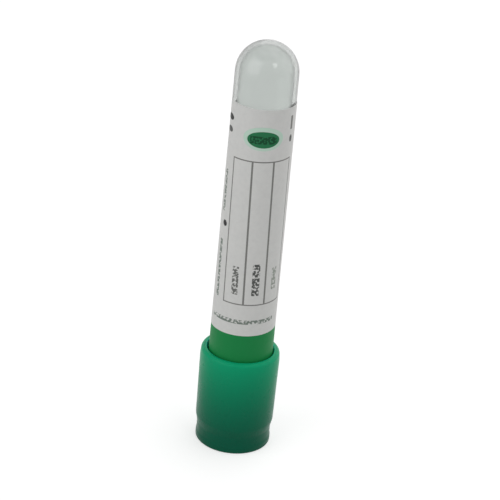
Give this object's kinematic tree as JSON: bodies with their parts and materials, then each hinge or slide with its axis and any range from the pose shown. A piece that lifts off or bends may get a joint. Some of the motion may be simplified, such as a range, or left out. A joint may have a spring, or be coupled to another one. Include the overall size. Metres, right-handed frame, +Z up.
{
  "type": "blood collection tube",
  "caption": "Clear round-bottomed blood collection tube with a pierceable rubber stopper in a green safety cap and a half-wrap write-on label, standing on its cap.",
  "frame": {"origin": "centre of the cap's end face, on the surface that the tube stands on, upside down", "axes": "+Z up along the tube's axis, from the cap's end face to the tube's round closed end; -Y faces the middle of the label"},
  "size_m": [0.0198, 0.0198, 0.1055],
  "materials": {
    "clear_plastic": "clear, polished",
    "rubber": "matt dark grey",
    "green_plastic": "gloss, green",
    "label_paper": "satin white with a green band"
  },
  "bodies": {
    "closure": {"cap": "green_plastic", "stopper": "rubber"},
    "tube_body": {"tube": "clear_plastic", "label": "label_paper"}
  },
  "joints": [
    {"name": "pull_off", "type": "slide", "parent": "closure", "child": "tube_body", "axis": [0, 0, 1], "range_m": [0, 0.022]}
  ]
}
